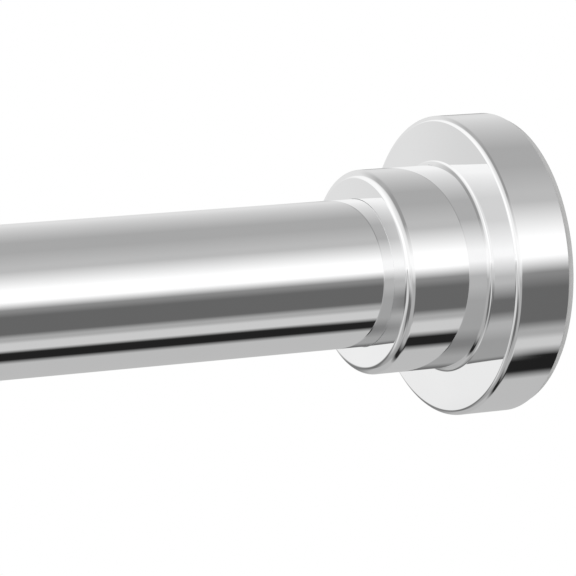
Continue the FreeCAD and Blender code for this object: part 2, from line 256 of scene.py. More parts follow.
def noiseNode(tree, place, vector, scale, detail=3.0, roughness=0.5, distortion=0.0):
    node = addNode(tree, "ShaderNodeTexNoise", place)
    tree.links.new(vector, node.inputs["Vector"])
    settings = {"Scale": scale, "Detail": detail, "Roughness": roughness, "Distortion": distortion}
    for key, value in settings.items():
        if isinstance(value, (int, float)):
            node.inputs[key].default_value = value
        else:
            tree.links.new(value, node.inputs[key])
    return node.outputs["Fac"]


def spunLinesGroup():
    # Fine rings round the rod's axis, as a lathe and a polishing wheel leave them
    tree, groupIn, groupOut = makeGroup("spunLines", {"Lines per metre": 2500.0}, ["Height"])
    place = addNode(tree, "ShaderNodeTexCoord", (-900, 300))
    parts = addNode(tree, "ShaderNodeSeparateXYZ", (-700, 300))
    tree.links.new(place.outputs["Object"], parts.inputs[0])
    squareY = mathNode(tree, "MULTIPLY", (-500, 200), parts.outputs["Y"], parts.outputs["Y"])
    squareZ = mathNode(tree, "MULTIPLY", (-500, 50), parts.outputs["Z"], parts.outputs["Z"])
    radius = mathNode(tree, "SQRT", (-150, 120), mathNode(tree, "ADD", (-320, 120), squareY, squareZ))
    rings = addNode(tree, "ShaderNodeCombineXYZ", (20, 250))
    tree.links.new(parts.outputs["X"], rings.inputs["X"])
    tree.links.new(radius, rings.inputs["Y"])
    height = noiseNode(tree, (250, 150), rings.outputs[0], groupIn.outputs["Lines per metre"],
                       detail=4.0, roughness=0.6)
    tree.links.new(height, groupOut.inputs["Height"])
    return tree


def drawnLinesGroup():
    # Long faint lines along the rod, as a tube keeps from drawing and polishing
    tree, groupIn, groupOut = makeGroup("drawnLines", {"Lines per metre": 1800.0}, ["Height"])
    place = addNode(tree, "ShaderNodeTexCoord", (-900, 300))
    stretch = addNode(tree, "ShaderNodeMapping", (-500, 300))
    stretch.inputs["Scale"].default_value = (0.012, 1.0, 1.0)  # drawn out along the rod
    tree.links.new(place.outputs["Object"], stretch.inputs["Vector"])
    height = noiseNode(tree, (200, 200), stretch.outputs[0], groupIn.outputs["Lines per metre"],
                       detail=4.0, roughness=0.6)
    tree.links.new(height, groupOut.inputs["Height"])
    return tree


def smudgesGroup():
    # Soft patches where hands and cloths have been
    tree, groupIn, groupOut = makeGroup("smudges", {"Patches per metre": 45.0, "Cover": 0.45}, ["Mask"])
    place = addNode(tree, "ShaderNodeTexCoord", (-900, 300))
    patches = noiseNode(tree, (-500, 200), place.outputs["Object"], groupIn.outputs["Patches per metre"],
                        detail=5.0, roughness=0.62, distortion=0.8)
    above = mathNode(tree, "SUBTRACT", (-250, 150), patches, groupIn.outputs["Cover"])
    steepness = 3.0
    mask = mathNode(tree, "MULTIPLY", (0, 150), above, steepness, clamp=True)
    tree.links.new(mask, groupOut.inputs["Mask"])
    return tree


def mouldedGrainGroup():
    # The fine skin of a moulding, with broad uneven tone below it
    tree, groupIn, groupOut = makeGroup(
        "mouldedGrain", {"Grain per metre": 4500.0, "Flow per metre": 90.0}, ["Height", "Tone"])
    place = addNode(tree, "ShaderNodeTexCoord", (-900, 300))
    grain = noiseNode(tree, (-400, 350), place.outputs["Object"], groupIn.outputs["Grain per metre"],
                      detail=2.0, roughness=0.55)
    flow = noiseNode(tree, (-400, 50), place.outputs["Object"], groupIn.outputs["Flow per metre"],
                     detail=4.0, roughness=0.6, distortion=0.4)
    tree.links.new(grain, groupOut.inputs["Height"])
    grainShare = 0.35
    tone = mathNode(tree, "ADD", (200, 50), mathNode(tree, "MULTIPLY", (0, 150), grain, grainShare),
                    mathNode(tree, "MULTIPLY", (0, 0), flow, 1 - grainShare))
    tree.links.new(tone, groupOut.inputs["Tone"])
    return tree


groups = {
    "spunLines": spunLinesGroup(),
    "drawnLines": drawnLinesGroup(),
    "smudges": smudgesGroup(),
    "mouldedGrain": mouldedGrainGroup(),
}
print("shader groups made:", ", ".join(groups))


# Finishes


def newMaterial(name):
    material = bpy.data.materials.new(name)
    material.use_nodes = True
    tree = material.node_tree
    tree.nodes.clear()
    shader = addNode(tree, "ShaderNodeBsdfPrincipled", (400, 0))
    output = addNode(tree, "ShaderNodeOutputMaterial", (750, 0))
    tree.links.new(shader.outputs[0], output.inputs["Surface"])
    return material, tree, shader


def placeGroup(tree, groupName, place, **values):
    node = addNode(tree, "ShaderNodeGroup", place, node_tree=groups[groupName])
    for key, value in values.items():
        node.inputs[key.replace("_", " ")].default_value = value
    return node


def blendColours(tree, place, factor, low, high):
    node = addNode(tree, "ShaderNodeMix", place, data_type="RGBA")
    tree.links.new(factor, node.inputs["Factor"])
    node.inputs["A"].default_value = (*low, 1)
    node.inputs["B"].default_value = (*high, 1)
    return node.outputs["Result"]


def stretchRange(tree, place, value, low, high):
    node = addNode(tree, "ShaderNodeMapRange", place)
    tree.links.new(value, node.inputs["Value"])
    node.inputs["To Min"].default_value = low
    node.inputs["To Max"].default_value = high
    return node.outputs["Result"]


def bumpNode(tree, place, height, strength, depth):
    node = addNode(tree, "ShaderNodeBump", place)
    tree.links.new(height, node.inputs["Height"])
    node.inputs["Strength"].default_value = strength
    node.inputs["Distance"].default_value = depth
    return node.outputs["Normal"]


def wireShader(tree, shader, colour, roughness, bump):
    tree.links.new(colour, shader.inputs["Base Color"])
    tree.links.new(roughness, shader.inputs["Roughness"])
    tree.links.new(bump, shader.inputs["Normal"])


# Each look has two colours, and two roughnesses, sharp and hazed, to blend between. Depths are in metres
chromeLook = {
    "clean": (0.955, 0.956, 0.958),
    "handled": (0.93, 0.932, 0.935),
    "sharp": 0.02,
    "hazed": 0.075,
    "smudgesPerMetre": 38.0,
    "cover": 0.5,
    "smudgeShare": 0.8,  # of the haze, and the rest comes from the lines
    "lineStrength": 0.05,
    "lineDepth": 0.0000012,
}


def chrome(name, linesGroup, linesPerMetre):
    look = chromeLook
    material, tree, shader = newMaterial(name)
    smudges = placeGroup(tree, "smudges", (-700, 200), Patches_per_metre=look["smudgesPerMetre"],
                         Cover=look["cover"])
    lines = placeGroup(tree, linesGroup, (-700, -250), Lines_per_metre=linesPerMetre)
    mask = smudges.outputs["Mask"]
    height = lines.outputs["Height"]
    colour = blendColours(tree, (-300, 300), mask, look["clean"], look["handled"])
    haze = mathNode(tree, "ADD", (-450, 60),
                    mathNode(tree, "MULTIPLY", (-560, 120), mask, look["smudgeShare"]),
                    mathNode(tree, "MULTIPLY", (-560, -40), height, 1 - look["smudgeShare"]))
    roughness = stretchRange(tree, (-300, 60), haze, look["sharp"], look["hazed"])
    bump = bumpNode(tree, (100, -250), height, look["lineStrength"], look["lineDepth"])
    wireShader(tree, shader, colour, roughness, bump)
    shader.inputs["Metallic"].default_value = 1.0
    return material


def moulding(name, look):
    # Plastics and rubber: skin grain, uneven tone and uneven gloss
    material, tree, shader = newMaterial(name)
    grain = placeGroup(tree, "mouldedGrain", (-700, 100), Grain_per_metre=look["grainPerMetre"])
    tone = grain.outputs["Tone"]
    colour = blendColours(tree, (-300, 300), tone, look["dark"], look["pale"])
    roughness = stretchRange(tree, (-300, 60), tone, look["sharp"], look["hazed"])
    bump = bumpNode(tree, (100, -250), grain.outputs["Height"], look["grainStrength"], look["grainDepth"])
    wireShader(tree, shader, colour, roughness, bump)
    shader.inputs["Subsurface Weight"].default_value = look["translucent"]
    shader.inputs["Subsurface Scale"].default_value = look["lightDepth"]
    return material


def steel(name, look):
    material, tree, shader = newMaterial(name)
    smudges = placeGroup(tree, "smudges", (-700, 200), Patches_per_metre=look["smudgesPerMetre"],
                         Cover=look["cover"])
    lines = placeGroup(tree, look["lines"], (-700, -250), Lines_per_metre=look["linesPerMetre"])
    height = lines.outputs["Height"]
    colour = blendColours(tree, (-300, 300), smudges.outputs["Mask"], look["bright"], look["dull"])
    roughness = stretchRange(tree, (-300, 60), height, look["sharp"], look["hazed"])
    bump = bumpNode(tree, (100, -250), height, look["lineStrength"], look["lineDepth"])
    wireShader(tree, shader, colour, roughness, bump)
    shader.inputs["Metallic"].default_value = 1.0
    return material


anyMoulding = {"grainStrength": 0.35, "translucent": 0.0, "lightDepth": 0.0015}
greyRubber = {
    **anyMoulding,
    "dark": (0.475, 0.475, 0.472),
    "pale": (0.53, 0.53, 0.527),
    "sharp": 0.72,
    "hazed": 0.85,
    "grainPerMetre": 2600.0,
    "grainDepth": 0.00006,
}
greyPlastic = {
    **anyMoulding,
    "dark": (0.30, 0.303, 0.31),
    "pale": (0.35, 0.353, 0.36),
    "sharp": 0.42,
    "hazed": 0.58,
    "grainPerMetre": 5200.0,
    "grainDepth": 0.00003,
}
whitePlastic = {
    **anyMoulding,
    "dark": (0.74, 0.74, 0.72),
    "pale": (0.80, 0.80, 0.785),
    "sharp": 0.32,
    "hazed": 0.46,
    "grainPerMetre": 6000.0,
    "grainDepth": 0.00002,
}
clearNylon = {
    **anyMoulding,
    "dark": (0.66, 0.645, 0.58),
    "pale": (0.74, 0.725, 0.66),
    "sharp": 0.28,
    "hazed": 0.40,
    "grainPerMetre": 5000.0,
    "grainDepth": 0.00002,
    "grainStrength": 0.3,
    "translucent": 0.25,
}
anySteel = {"smudgesPerMetre": 220.0, "cover": 0.42, "lineStrength": 0.3, "lineDepth": 0.00001}
zincSteel = {
    **anySteel,
    "bright": (0.66, 0.67, 0.70),
    "dull": (0.56, 0.57, 0.61),
    "sharp": 0.22,
    "hazed": 0.40,
    "lines": "spunLines",
    "linesPerMetre": 3000.0,
}
springSteel = {
    **anySteel,
    "bright": (0.30, 0.30, 0.31),
    "dull": (0.22, 0.22, 0.23),
    "sharp": 0.25,
    "hazed": 0.45,
    "lines": "drawnLines",
    "linesPerMetre": 1500.0,
}
finishes = {
    "grey_rubber": moulding("greyRubber", greyRubber),
    "grey_plastic": moulding("greyPlastic", greyPlastic),
    "white_plastic": moulding("whitePlastic", whitePlastic),
    "clear_nylon": moulding("clearNylon", clearNylon),
    "zinc_steel": steel("zincSteel", zincSteel),
    "spring_steel": steel("springSteel", springSteel),
}
chromeSpun = chrome("chromeSpun", "spunLines", linesPerMetre=2600.0)
chromeDrawn = chrome("chromeDrawn", "drawnLines", linesPerMetre=1800.0)
finishes["chrome"] = chromeSpun

for row in frame["record"]["subparts"]:
    node = nodes[row["node"]]
    for slot in node.material_slots:
        slot.material = finishes[row["material_slot"]]
print("finishes made:", ", ".join(finishes))


# Tubes

tube = {
    "outerStart": 9.5,  # on the right end plug's flange
    "outerEnd": 543.95,  # on the mouth ring's lip
    "innerStart": 247.5,
    "innerEnd": 680.5,  # on the left end plug's flange
    "edgeRound": 0.15,
}


def roundTube(name, start, end, bore, radius):
    return finishSmooth(latheRing(name, [
        (start, bore),
        (start, radius, tube["edgeRound"], 3),
        (end, radius, tube["edgeRound"], 3),
        (end, bore),
    ], fromRight))


seat(roundTube("outerTube", tube["outerStart"], tube["outerEnd"], rod["outerBore"], rod["outerTube"]),
     "outer_tube_group", "outer_tube", chromeDrawn)
seat(roundTube("innerTube", tube["innerStart"], tube["innerEnd"], rod["innerBore"], rod["innerTube"]),
     "inner_tube_group", "inner_tube", chromeDrawn)
print("tubes made")


# Flange covers

cover = {
    "back": 1.25,  # the rim's open edge, pressed a little into the pad
    # Both faces fall back a little from their middle to their edge
    "faceEdge": 11.36,
    "face": 11.60,
    "frontEdge": 27.52,
    "front": 27.58,
    "wall": 0.8,
    "rim": 26.0,
    "collar": 17.6,
    "rimRound": 0.95,
    "collarRound": 1.45,
    "baseRound": 0.8,
    "boreRound": 0.08,
    "edgeRound": 0.12,
    "slack": 0.02,  # between the bore and the tube
}


def flangeCover(name, tubeRadius, place):
    wall = cover["wall"]
    bore = tubeRadius + cover["slack"]
    return finishSmooth(latheRing(name, [
        (cover["back"], cover["rim"], cover["edgeRound"], 3),
        (cover["faceEdge"], cover["rim"], cover["rimRound"], 9),
        (cover["face"], cover["collar"], cover["baseRound"], 9),
        (cover["frontEdge"], cover["collar"], cover["collarRound"], 12),
        (cover["front"], bore, cover["boreRound"], 4),
        (cover["front"] - wall, bore),
        (cover["frontEdge"] - wall, cover["collar"] - wall, cover["collarRound"] - wall, 6),
        (cover["face"] - wall, cover["collar"] - wall, cover["baseRound"] + wall, 8),
        (cover["faceEdge"] - wall, cover["rim"] - wall, cover["rimRound"] - wall, 3),
        (cover["back"], cover["rim"] - wall, cover["edgeRound"], 3),
    ], place))


seat(flangeCover("rightFlangeCover", rod["outerTube"], fromRight), "right_cover", "right_flange_cover",
     chromeSpun)
seat(flangeCover("leftFlangeCover", rod["innerTube"], fromLeft), "left_cover", "left_flange_cover",
     chromeSpun)
print("flange covers made")


# Wall pads

pad = {
    "radius": 25.4,
    "edgeRound": 0.15,
    "seat": (1.2, 25.0),  # where it slopes down under the cover's edge
    "grooves": [8.5, 12.7, 16.9, 21.1],  # inner radius of each grip groove
    "grooveWidth": 1.2,
    "grooveDepth": 0.5,
    "grooveRound": 0.12,
    "tongue": (13.0, 15.0),  # the ring that keys it to the foot plate
    "tongueHeight": 1.2,
}


def wallPad(name, place):
    thick = rod["pad"]
    corners = []
    for near in pad["grooves"]:
        far = near + pad["grooveWidth"]
        corners += [
            (0, near, pad["grooveRound"], 2),
            (pad["grooveDepth"], near),
            (pad["grooveDepth"], far),
            (0, far, pad["grooveRound"], 2),
        ]
    near, far = pad["tongue"]
    top = thick + pad["tongueHeight"]
    corners += [
        (0, pad["radius"], pad["edgeRound"], 5),
        (pad["seat"][0], pad["radius"]),
        (thick, pad["seat"][1]),
        (thick, far),
        (top, far),
        (top, near),
        (thick, near),
    ]
    return finishSmooth(latheRing(name, corners, place, sides=144, closed=False))


seat(wallPad("rightWallPad", fromRight), "right_foot", "right_wall_pad",
     finishes["grey_rubber"])
seat(wallPad("leftWallPad", fromLeft), "left_foot", "left_wall_pad",
     finishes["grey_rubber"])
print("wall pads made")


# Foot plates

footPlate = {
    "radius": 24.6,
    "wall": 1.8,
    "wallTop": 9.35,
    "wallRound": 0.5,
    "backRound": 0.2,
    "front": 3.75,  # of the plate itself
    "corner": 0.6,  # fillets inside
    "hub": 9.5,
    "hubTop": 7.2,
    "hubRound": 0.4,
    "hole": 2.1,
    "holeRound": 0.2,
    "recess": 6.2,  # for the screw's head and washer
    "recessFloor": 4.9,
    "tongue": (12.95, 15.05),
    "tongueTop": 2.6,
    "ribs": 8,
    "ribThickness": 1.7,
    "ribTip": 0.75,  # its top is thinner, so that it leaves the mould
    "ribTop": 6.35,
    "ribRound": 0.25,
    "ribFoot": 0.5,  # how deep its foot sits in the plate
    "ribEnds": 0.6,  # and its ends in the hub and the wall
}


def ribbedPlate(name, place):
    back = rod["pad"]
    near, far = footPlate["tongue"]
    inner = footPlate["radius"] - footPlate["wall"]
    plate = latheRing(name, [
        (footPlate["recessFloor"], footPlate["hole"]),
        (footPlate["recessFloor"], footPlate["recess"]),
        (back, footPlate["recess"]),
        (back, near),
        (footPlate["tongueTop"], near),
        (footPlate["tongueTop"], far),
        (back, far),
        (back, footPlate["radius"], footPlate["backRound"], 2),
        (footPlate["wallTop"], footPlate["radius"], footPlate["wallRound"], 5),
        (footPlate["wallTop"], inner, footPlate["wallRound"], 5),
        (footPlate["front"], inner, footPlate["corner"], 4),
        (footPlate["front"], footPlate["hub"], footPlate["corner"], 4),
        (footPlate["hubTop"], footPlate["hub"], footPlate["hubRound"], 4),
        (footPlate["hubTop"], footPlate["hole"], footPlate["holeRound"], 2),
    ], place, sides=144)
    rib = block(place, footPlate["front"] - footPlate["ribFoot"], footPlate["ribTop"],
                footPlate["hub"] - footPlate["ribEnds"], inner + footPlate["ribEnds"],
                footPlate["ribThickness"], footPlate["ribTip"])
    roundAll(rib, footPlate["ribRound"], 3)
    return finishSmooth(combine(plate, aroundAxis(rib, footPlate["ribs"]), "UNION"))


seat(ribbedPlate("rightFootPlate", fromRight), "right_foot", "right_foot_plate",
     finishes["grey_plastic"])
seat(ribbedPlate("leftFootPlate", fromLeft), "left_foot", "left_foot_plate",
     finishes["grey_plastic"])
print("foot plates made")


# End plugs, pressed into the tubes

endPlug = {
    "flangeStart": 7.5,
    "tubeEnd": 9.5,
    "flangeRound": 0.4,
    "flangeEdge": 0.1,  # the round where the tube meets it
    "hole": 1.75,  # for the foot screw
    "holeRound": 0.2,
    "barrelGap": 0.3,  # between the barrel and the tube
    "barrelRound": 0.8,
    "wall": 2.8,
    "wallRound": 0.3,
    "bossEnd": 23.5,
    "bossCorner": 0.6,
    "bossRound": 0.3,
    "rightLength": 54.0,
    "leftLength": 32.0,
    "ribs": 6,  # crushed a little as the plug goes in
    "ribWidth": 2.4,
    "ribRound": 0.12,
    "ribGap": 0.04,  # between a rib's edges and the tube
    "ribLead": 1.5,  # how far the ribs stop short of the barrel's end
    "ribStart": 0.2,  # how deep a rib starts in the flange
    "ribFoot": 0.4,  # and how deep its foot sits in the barrel
}


def flangedPlug(name, tubeRadius, tubeBore, length, place):
    tubeEnd = endPlug["tubeEnd"]
    barrel = tubeBore - endPlug["barrelGap"]
    hollow = barrel - endPlug["wall"]
    plug = latheRing(name, [
        (endPlug["flangeStart"], endPlug["hole"], endPlug["holeRound"], 2),
        (endPlug["flangeStart"], tubeRadius, endPlug["flangeRound"], 4),
        (tubeEnd, tubeRadius, endPlug["flangeEdge"], 2),
        (tubeEnd, barrel),
        (tubeEnd + length, barrel, endPlug["barrelRound"], 4),
        (tubeEnd + length, hollow, endPlug["wallRound"], 2),
        (endPlug["bossEnd"], hollow, endPlug["bossCorner"], 4),
        (endPlug["bossEnd"], endPlug["hole"], endPlug["bossRound"], 2),
    ], place, sides=128)
    ribTop = math.sqrt((tubeBore - endPlug["ribGap"]) ** 2 - (endPlug["ribWidth"] / 2) ** 2)
    rib = block(place, tubeEnd - endPlug["ribStart"], tubeEnd + length - endPlug["ribLead"],
                barrel - endPlug["ribFoot"], ribTop, endPlug["ribWidth"])
    roundAll(rib, endPlug["ribRound"], 2)
    return finishSmooth(combine(plug, aroundAxis(rib, endPlug["ribs"]), "UNION"))


seat(flangedPlug("rightEndPlug", rod["outerTube"], rod["outerBore"], endPlug["rightLength"], fromRight),
     "outer_tube_group", "right_end_plug", finishes["white_plastic"])
seat(flangedPlug("leftEndPlug", rod["innerTube"], rod["innerBore"], endPlug["leftLength"], fromLeft),
     "inner_tube_group", "left_end_plug", finishes["white_plastic"])
print("end plugs made")


# Grip rings inside the covers' collars

gripRing = {
    "back": 14.7,
    "front": 26.7,
    "radius": 16.75,
    "frontRound": 1.45,
    "wall": 1.3,
    "slack": 0.1,  # between its fingers and the tube
    "tipRound": 0.3,
    "slots": 8,
    "slotWidth": 1.5,
    "slotLength": 8.0,
    "cutterStart": 1,  # how far the cutter stands out of the ring's back and bore
    "cutterTop": 0.05,  # and above its fingers
}


def fingeredRing(name, tubeRadius, place):
    bore = tubeRadius + gripRing["slack"]
    fingers = bore + gripRing["wall"]
    inner = gripRing["radius"] - gripRing["wall"]
    ring = latheRing(name, [
        (gripRing["back"], bore, gripRing["tipRound"], 3),
        (gripRing["front"], bore),
        (gripRing["front"], gripRing["radius"], gripRing["frontRound"], 6),
        (gripRing["back"], gripRing["radius"], gripRing["tipRound"], 3),
        (gripRing["back"], inner, gripRing["tipRound"], 3),
        (gripRing["front"] - gripRing["wall"], inner),
        (gripRing["front"] - gripRing["wall"], fingers),
        (gripRing["back"], fingers, gripRing["tipRound"], 3),
    ], place, sides=128)
    slot = block(place, gripRing["back"] - gripRing["cutterStart"], gripRing["back"] + gripRing["slotLength"],
                 bore - gripRing["cutterStart"], fingers + gripRing["cutterTop"], gripRing["slotWidth"])
    return finishSmooth(combine(ring, aroundAxis(slot, gripRing["slots"]), "DIFFERENCE"))


seat(fingeredRing("rightCoverGripRing", rod["outerTube"], fromRight), "right_cover",
     "right_cover_grip_ring", finishes["clear_nylon"])
seat(fingeredRing("leftCoverGripRing", rod["innerTube"], fromLeft), "left_cover",
     "left_cover_grip_ring", finishes["clear_nylon"])
print("grip rings made")


# Ring at the outer tube's mouth

mouth = {
    "sleeveStart": 523.95,
    "lipStart": 543.95,
    "end": 546.45,
    "bore": 11.4,
    "sleeve": 11.85,
    "lip": 13.3,
    "lipRound": 0.8,
    "boreRound": 0.2,
}
mouthRing = finishSmooth(latheRing("tubeMouthRing", [
    (mouth["sleeveStart"], mouth["bore"]),
    (mouth["end"], mouth["bore"], mouth["boreRound"], 3),
    (mouth["end"], mouth["lip"], mouth["lipRound"], 8),
    (mouth["lipStart"], mouth["lip"], mouth["lipRound"], 8),
    (mouth["lipStart"], mouth["sleeve"]),
    (mouth["sleeveStart"], mouth["sleeve"]),
], fromRight))
seat(mouthRing, "outer_tube_group", "tube_mouth_ring", finishes["grey_plastic"])
print("mouth ring made")


# Compression spring

spring = {
    "start": 78.5,
    "end": 148.5,
    "wire": 2.2,
    "meanRadius": 8.9,
    "turns": 12,  # open turns, between one closed turn at each end
    "closedPitch": 2.27,
    "stepsPerTurn": 32,
    "wireSides": 12,
    "weld": 1e-5,  # metres within which the turns' ends become one
    "smoothBelow": 50,  # degrees, so that the wire's coarse facets shade as one
    "keep": 0.5714,  # 40 mm of 70 mm are left when it is pressed home
}


def springTurns(place, pitch, turns):
    # A wire's round section, wound about the rod's axis by the Screw modifier
    bpy.ops.object.select_all(action="DESELECT")
    bpy.ops.mesh.primitive_circle_add(vertices=spring["wireSides"], radius=spring["wire"] / 2 * mm,
                                      location=(fromRight(place), 0, spring["meanRadius"] * mm),
                                      rotation=(math.pi / 2, 0, 0))
    piece = bpy.context.object
    bpy.ops.object.transform_apply(location=True, rotation=True, scale=True)
    bpy.ops.object.modifier_add(type="SCREW")
    modifier = piece.modifiers[-1]
    modifier.axis = "X"
    modifier.angle = -2 * math.pi
    modifier.screw_offset = -pitch * mm
    modifier.iterations = turns
    modifier.steps = modifier.render_steps = spring["stepsPerTurn"]
    modifier.use_normal_calculate = True
    bpy.ops.object.modifier_apply(modifier=modifier.name)
    return piece


firstTurn = spring["start"] + spring["wire"] / 2
lastTurn = spring["end"] - spring["wire"] / 2 - spring["closedPitch"]
openLength = lastTurn - firstTurn - spring["closedPitch"]
windings = [
    springTurns(firstTurn, spring["closedPitch"], 1),
    springTurns(firstTurn + spring["closedPitch"], openLength / spring["turns"], spring["turns"]),
    springTurns(lastTurn, spring["closedPitch"], 1),
]
bpy.ops.object.select_all(action="DESELECT")
for winding in windings:
    winding.select_set(True)
tensionSpring = windings[1]
bpy.context.view_layer.objects.active = tensionSpring
bpy.ops.object.join()
tensionSpring.name = tensionSpring.data.name = "tensionSpring"
bpy.ops.object.mode_set(mode="EDIT")
bpy.ops.mesh.select_all(action="SELECT")
bpy.ops.mesh.remove_doubles(threshold=spring["weld"])
bpy.ops.mesh.select_all(action="DESELECT")
bpy.ops.mesh.select_mode(type="EDGE")
bpy.ops.mesh.select_non_manifold()
bpy.ops.mesh.edge_face_add()
bpy.ops.mesh.select_all(action="SELECT")
bpy.ops.mesh.normals_make_consistent(inside=False)
bpy.ops.object.mode_set(mode="OBJECT")
bpy.ops.object.shade_smooth_by_angle(angle=math.radians(spring["smoothBelow"]))
seat(tensionSpring, "outer_tube_group", "tension_spring", finishes["spring_steel"])
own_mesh(tensionSpring)
print("spring wound:", len(tensionSpring.data.vertices), "points")


# Camera at the photograph's angle

view = {
    "lens": 233.24,
    "sensor": 36,
    "clip": (0.02, 50),  # metres
    "azimuth": -27.447,
    "elevation": 2.788,
    "roll": -3.38,
    "distance": 639.3,
    "target": -27.55,  # along the rod, at the collar's front
    "right": -12.03,  # how far the frame's middle lies off the target
    "up": -2.6,
}


def addCamera():
    azimuth, elevation, roll = (math.radians(view[key]) for key in ("azimuth", "elevation", "roll"))
    back = Vector((math.sin(azimuth) * math.cos(elevation), -math.cos(azimuth) * math.cos(elevation),
                   math.sin(elevation)))
    level = Vector((0, 0, 1)).cross(back).normalized()
    upright = back.cross(level)
    right = math.cos(roll) * level + math.sin(roll) * upright
    up = -math.sin(roll) * level + math.cos(roll) * upright
    target = Vector((view["target"], 0, 0))
    place = (target + back * view["distance"] + right * view["right"] + up * view["up"]) * mm
    bpy.ops.object.camera_add(location=place)
    camera = bpy.context.object
    camera.matrix_world = Matrix.Translation(place) @ Matrix((right, up, back)).transposed().to_4x4()
    camera.data.lens = view["lens"]
    camera.data.sensor_width = view["sensor"]
    camera.data.clip_start, camera.data.clip_end = view["clip"]
    bpy.context.scene.camera = camera


addCamera()
print("camera placed")


# Studio: white all round, and for the polished metal long soft cards that run along the rod

studio = {
    "plainLight": 0.78,
    "cardLight": 1.07,
    "cardTurn": 3.1,  # degrees that the camera stands above the horizon, about the rod
}

# The cards on each side, as the metal shows them: where each starts and ends, in degrees round the rod from
# the camera and upwards, and how light it is
wallSide = {  # the side of the rod's own wall
    "wallBehind": (-180, -179, 0.94),
    "table": (-170, -105, 0.72),
    "blackCard": (-96, -82, 0.13),
    "paleStrip": (-76, -65, 0.78),
    "greyStrip": (-60, -56, 0.65),
    "darkCard": (-49, -23, 0.39),
    "softEdge": (-15, -13, 0.52),
    "lensCard": (-1, 16, 1.0),
    "glow": (44, 52, 0.72),
    "ceiling": (76, 96, 0.65),
    "highWall": (150, 162, 0.86),
    "highCorner": (178, 180, 0.86),
}
darkCorner = {  # close to that wall
    **wallSide,
    "blackCard": (-96, -84, 0.13),
    "highWall": (150, 162, 0.85),
    "highCorner": (178, 180, 0.40),
}
nearWall = {  # and closer still, where the cards stand higher
    **darkCorner,
    "table": (-170, -104, 0.72),
    "blackCard": (-95, -80, 0.12),
    "paleStrip": (-71, -65, 0.78),
    "softEdge": (-13, -11, 0.52),
    "lensCard": (1, 16, 1.0),
}
middleSide = {
    "wallBehind": (-180, -174, 0.92),
    "tableEdge": (-168, -162, 0.48),
    "table": (-151, -118, 0.70),
    "blackCard": (-107, -98, 0.14),
    "front": (-84, -18, 0.66),
    "lensCard": (0, 12, 0.98),
    "ceiling": (48, 84, 0.58),
    "farCeiling": (102, 114, 0.67),
    "highWall": (144, 180, 0.87),
}
openSide = {  # towards the rod's other end the studio is paler
    "wallBehind": (-180, -176, 0.92),
    "tableEdge": (-168, -157, 0.43),
    "table": (-142, -124, 0.63),
    "greyCard": (-104, -96, 0.50),
    "front": (-78, -42, 0.63),
    "softEdge": (-26, -14, 0.70),
    "lensCard": (2, 14, 0.98),
    "ceiling": (50, 76, 0.68),
    "highWall": (144, 164, 0.96),
    "highCorner": (176, 180, 0.86),
}
pastMiddle = {  # here the dark card in front starts again
    "wallBehind": (-180, -176, 0.91),
    "tableEdge": (-168, -158, 0.45),
    "table": (-146, -104, 0.61),
    "paleStrip": (-84, -76, 0.69),
    "darkCard": (-61, -46, 0.41),
    "softEdge": (-26, -18, 0.72),
    "lensCard": (6, 12, 0.99),
    "ceiling": (48, 80, 0.83),
    "highWall": (130, 168, 0.97),
    "highCorner": (174, 180, 0.82),
}
alongRod = {  # pale wall and table round the rod's other end
    "wallBehind": (-180, -178, 0.80),
    "tableEdge": (-174, -172, 0.60),
    "paleTable": (-164, -148, 0.83),
    "table": (-124, -100, 0.68),
    "darkCard": (-86, -42, 0.40),
    "softEdge": (-24, -12, 0.79),
    "lensCard": (0, 20, 0.96),
    "ceiling": (55, 90, 0.89),
    "highWall": (135, 168, 0.99),
    "highCorner": (178, 180, 0.87),
}
rodEnd = {  # white card that faces the rod
    "table": (-180, -90, 0.82),
    "front": (-56, -34, 0.72),
    "facingCard": (0, 180, 1.0),
}

# Each side, and the stretch over which it takes over from the one before it, as the share of a mirrored look
# that goes along the rod. The first one takes over from nearWall
cardSides = [
    (darkCorner, 0.52, 0.495),
    (wallSide, 0.48, 0.455),
    (middleSide, 0.34, 0.10),
    (openSide, -0.38, -0.44),
    (pastMiddle, -0.46, -0.55),
    (alongRod, -0.60, -0.75),
    (rodEnd, -0.87, -0.95),
]


def toLinear(shown):
    # From the tone that a screen shows to the light itself, by the sRGB curve
    return ((shown + 0.055) / 1.055) ** 2.4


def cardRamp(tree, place, share, cards):
    # One ramp goes once round the rod, with the camera's side in its middle
    ramp = addNode(tree, "ShaderNodeValToRGB", place)
    tree.links.new(share, ramp.inputs["Fac"])
    stops = ramp.color_ramp.elements
    edges = [(degrees, shown) for start, end, shown in cards.values() for degrees in (start, end)]
    for number, (degrees, shown) in enumerate(edges):
        stop = stops[number] if number < 2 else stops.new(1.0)
        stop.position = degrees / 360 + 0.5
        stop.color = (toLinear(shown),) * 3 + (1,)
    return ramp.outputs["Color"]


